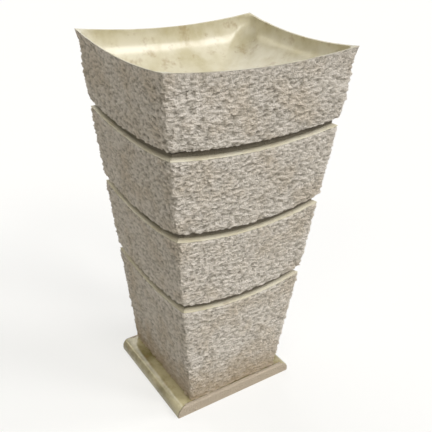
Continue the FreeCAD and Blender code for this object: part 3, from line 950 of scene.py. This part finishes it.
class PLANTER_OT_cut_plinth(bpy.types.Operator):
    """Cut the plinth slab, with rounded polished ledges and sawn sides"""
    bl_idname = "planter.cut_plinth"
    bl_label = "Cut plinth"

    def execute(self, context):
        sizes = context.scene.planter_masonry
        colours = context.scene.planter_colours
        low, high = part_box("plinth_slab")
        counts = (round(2 * high.x / PLINTH_SPACING), round(2 * high.y / PLINTH_SPACING))
        rings = plinth_rings(sizes, high.xy, high.z - low.z)
        mesh = ring_mesh("plinth_slab_stone", perimeter_columns(counts), rings, sizes.plinth_ease)
        mesh.materials.append(marble(
            "Khaki marble", colours.plinth_pale, colours.plinth_khaki, PLINTH_ROUGHNESS))
        mesh.set_sharp_from_angle(angle=PLINTH_SHARP_ANGLE)
        place_piece(add_piece("plinth_slab_stone", mesh), "plinth_slab")
        return {"FINISHED"}


class PLANTER_OT_dress_foot(bpy.types.Operator):
    """Dress the foot course, which stands on the plinth"""
    bl_idname = "planter.dress_foot"
    bl_label = "Dress foot course"

    def execute(self, context):
        sizes = context.scene.planter_masonry
        dressing = context.scene.planter_dressing
        trunk = Trunk(sizes)
        above = groove_under(sizes, "lower")
        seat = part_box("foot_block")[0].z
        shoulder, line = shoulder_rings(sizes, trunk, above)
        face = rough_face(dressing, trunk, seat, above.corner, lambda column: seat, line)
        rings = face_rings(dressing, trunk, face, dressing.margin_band, dressing.margin_band, pitched=0.0)
        rings += shoulder + hollow_rings(sizes, trunk, above.bed, seat)
        dress_course("foot_block", face.columns, rings, dressing)
        return {"FINISHED"}


class PLANTER_OT_dress_middle(bpy.types.Operator):
    """Dress the two middle courses, which stand between grooves"""
    bl_idname = "planter.dress_middle"
    bl_label = "Dress middle courses"

    def execute(self, context):
        sizes = context.scene.planter_masonry
        dressing = context.scene.planter_dressing
        trunk = Trunk(sizes)
        for course, next_course in (("lower", "upper"), ("upper", "bowl")):
            below = groove_under(sizes, course)
            above = groove_under(sizes, next_course)
            skirt, edge = skirt_rings(sizes, trunk, below)
            shoulder, line = shoulder_rings(sizes, trunk, above)
            face = rough_face(dressing, trunk, below.corner + sizes.groove_opening, above.corner, edge, line)
            rings = skirt + face_rings(dressing, trunk, face, dressing.margin_band, dressing.margin_band)
            rings += shoulder + hollow_rings(sizes, trunk, above.bed, below.seat)
            dress_course(course + "_block", face.columns, rings, dressing)
        return {"FINISHED"}


class PLANTER_OT_carve_bowl(bpy.types.Operator):
    """Dress the top course and carve its polished dish"""
    bl_idname = "planter.carve_bowl"
    bl_label = "Carve bowl course"

    def execute(self, context):
        sizes = context.scene.planter_masonry
        dressing = context.scene.planter_dressing
        trunk = Trunk(sizes)
        dish = Dish(sizes, trunk)
        below = groove_under(sizes, "bowl")
        skirt, edge = skirt_rings(sizes, trunk, below)

        def rim(column):
            return trunk.line(column, trunk.rim_height, sizes.rim_sag)

        face = rough_face(dressing, trunk, below.corner + sizes.groove_opening, trunk.rim_height, edge, rim)
        rings = skirt + face_rings(dressing, trunk, face, dressing.rim_margin, dressing.rim_band)
        rings += dish.wall_rings(face.columns, dressing.dish_rings) + dish.drain_hole_rings(below.seat)
        dress_course("bowl_block", face.columns, rings, dressing)
        return {"FINISHED"}


class PLANTER_OT_finish_beds(bpy.types.Operator):
    """Finish the beds of setting compound between the courses"""
    bl_idname = "planter.finish_beds"
    bl_label = "Finish beds"

    def execute(self, context):
        refinish([course + "_bed" for course in COURSES], CEMENT)
        return {"FINISHED"}


class PLANTER_OT_finish_dowels(bpy.types.Operator):
    """Finish the square steel dowels across the beds"""
    bl_idname = "planter.finish_dowels"
    bl_label = "Finish dowels"

    def execute(self, context):
        refinish([course + "_dowels" for course in COURSES], STEEL)
        return {"FINISHED"}


class PLANTER_OT_finish_waste(bpy.types.Operator):
    """Finish the waste fitting: plated body and tailpiece, brass nut and rubber seals"""
    bl_idname = "planter.finish_waste"
    bl_label = "Finish waste fitting"

    def execute(self, context):
        refinish(("drain_body", "tailpiece"), CHROME)
        refinish(("lock_nut",), BRASS)
        refinish(("flange_seal", "floor_gasket", "slip_washer"), RUBBER)
        return {"FINISHED"}


class PLANTER_OT_finish_pipe(bpy.types.Operator):
    """Finish the drain pipe and its slip nut"""
    bl_idname = "planter.finish_pipe"
    bl_label = "Finish drain pipe"

    def execute(self, context):
        refinish(("drain_pipe", "slip_nut"), PVC)
        return {"FINISHED"}


class PLANTER_OT_set_stage(bpy.types.Operator):
    """Lay the pale floor, hang the soft lights and set the camera"""
    bl_idname = "planter.set_stage"
    bl_label = "Set stage"

    def execute(self, context):
        scene = context.scene
        scene.view_settings.view_transform = "Standard"
        self.lay_floor(scene.planter_studio, scene.planter_colours)
        self.light_sky(scene, scene.planter_studio)
        self.hang_lights(scene.planter_studio)
        self.set_camera(scene, scene.planter_studio)
        return {"FINISHED"}

    def lay_floor(self, studio, colours):
        """A pale floor that keeps the object's shadow and throws less light back than it shows."""
        half = studio.floor_side / 2
        corners = [(-half, -half, 0), (half, -half, 0), (half, half, 0), (-half, half, 0)]
        mesh = bpy.data.meshes.new("floor")
        mesh.from_pydata(corners, [], [(0, 1, 2, 3)])
        material, tree = fresh_material("Studio floor")
        seen = seen_rays(tree)
        shown = add_node(tree, "ShaderNodeMix", {"data_type": "RGBA"}, {
            0: seen, 6: tuple(colours.floor_bounce), 7: tuple(colours.floor)})
        lit = add_node(tree, "ShaderNodeBsdfDiffuse", inputs={"Color": shown.outputs[2]})
        white = add_node(tree, "ShaderNodeEmission", inputs={"Color": tuple(colours.floor)})
        glow = add_node(tree, "ShaderNodeMath", {"operation": "MULTIPLY"}, {0: seen, 1: studio.floor_glow})
        finish_material(tree, add_node(tree, "ShaderNodeMixShader", inputs={0: glow, 1: lit, 2: white}))
        mesh.materials.append(material)
        add_piece("floor", mesh)

    def light_sky(self, scene, studio):
        """An even sky, white where it is seen and dimmer as a light."""
        world = bpy.data.worlds.new("Studio")
        world.use_nodes = True
        scene.world = world
        tree = world.node_tree
        tree.nodes.clear()
        strength = add_node(tree, "ShaderNodeMapRange", inputs={
            "Value": seen_rays(tree), "To Min": studio.sky_strength, "To Max": 1.0})
        sky = add_node(tree, "ShaderNodeBackground", inputs={"Color": (1, 1, 1, 1), "Strength": strength})
        add_node(tree, "ShaderNodeOutputWorld", inputs={"Surface": sky})

    def hang_lights(self, studio):
        """The window as a row of lamps, warmer and dimmer to its left, and two lights behind the object."""
        warm = Vector(studio.window_tint[:3])
        white = Vector((1, 1, 1))
        last = len(studio.window_strengths) - 1
        for index, strength in enumerate(studio.window_strengths):
            azimuth = studio.window_left + (studio.window_right - studio.window_left) * index / last
            self.hang_light(f"Window light {index + 1}", azimuth, studio.window_elevation,
                            studio.window_spread, strength, warm.lerp(white, math.sqrt(index / last)))
        for index, tint in enumerate((warm, white)):
            self.hang_light(f"Back light {index + 1}", studio.back_azimuths[index],
                            studio.back_elevations[index], studio.back_spreads[index],
                            studio.back_strengths[index], tint)

    def hang_light(self, name, azimuth, elevation, spread, strength, tint):
        """One wide, distant lamp."""
        lamp = bpy.data.lights.new(name, "SUN")
        lamp.angle = spread
        lamp.energy = strength
        lamp.color = tint
        light = bpy.data.objects.new(name, lamp)
        towards = Vector((math.cos(azimuth), math.sin(azimuth), math.tan(elevation)))
        light.rotation_euler = towards.to_track_quat("Z", "Y").to_euler()
        bpy.context.scene.collection.objects.link(light)

    def set_camera(self, scene, studio):
        """A camera above the rim, off the corner between the front and the left side."""
        lens = bpy.data.cameras.new("Camera")
        lens.lens = studio.camera_lens
        lens.sensor_width = studio.camera_frame
        lens.sensor_fit = "HORIZONTAL"
        camera = bpy.data.objects.new("Camera", lens)
        turn = Matrix.Rotation(studio.camera_azimuth, 4, "Z")
        nod = Matrix.Rotation(math.pi / 2 - studio.camera_elevation, 4, "X")
        roll = Matrix.Rotation(studio.camera_roll, 4, "Z")
        camera.matrix_world = Matrix.Translation(studio.camera_place) @ turn @ nod @ roll
        scene.collection.objects.link(camera)
        scene.camera = camera


class PLANTER_PT_panel(bpy.types.Panel):
    """Sizes, colours and steps of the planter"""
    bl_idname = "PLANTER_PT_panel"
    bl_label = "Stone pedestal planter"
    bl_space_type = "VIEW_3D"
    bl_region_type = "UI"
    bl_category = "Planter"

    def draw(self, context):
        for operator in OPERATORS:
            self.layout.operator(operator.bl_idname)
        for name in GROUPS:
            group = getattr(context.scene, name)
            box = self.layout.box()
            for value in group.__annotations__:
                box.prop(group, value)


OPERATORS = (
    PLANTER_OT_cut_plinth,
    PLANTER_OT_dress_foot,
    PLANTER_OT_dress_middle,
    PLANTER_OT_carve_bowl,
    PLANTER_OT_finish_beds,
    PLANTER_OT_finish_dowels,
    PLANTER_OT_finish_waste,
    PLANTER_OT_finish_pipe,
    PLANTER_OT_set_stage,
)
GROUPS = {
    "planter_masonry": MasonrySizes,
    "planter_dressing": DressingSizes,
    "planter_colours": PlanterColours,
    "planter_studio": StudioSizes,
}


def register():
    for name, group in GROUPS.items():
        bpy.utils.register_class(group)
        setattr(bpy.types.Scene, name, PointerProperty(type=group))
    for operator in OPERATORS:
        bpy.utils.register_class(operator)
    bpy.utils.register_class(PLANTER_PT_panel)


def unregister():
    bpy.utils.unregister_class(PLANTER_PT_panel)
    for operator in reversed(OPERATORS):
        bpy.utils.unregister_class(operator)
    for name, group in reversed(GROUPS.items()):
        delattr(bpy.types.Scene, name)
        bpy.utils.unregister_class(group)


def main():
    register()
    bpy.ops.planter.cut_plinth()
    bpy.ops.planter.dress_foot()
    bpy.ops.planter.dress_middle()
    bpy.ops.planter.carve_bowl()
    bpy.ops.planter.finish_beds()
    bpy.ops.planter.finish_dowels()
    bpy.ops.planter.finish_waste()
    bpy.ops.planter.finish_pipe()
    bpy.ops.planter.set_stage()


if __name__ == "__main__":
    main()
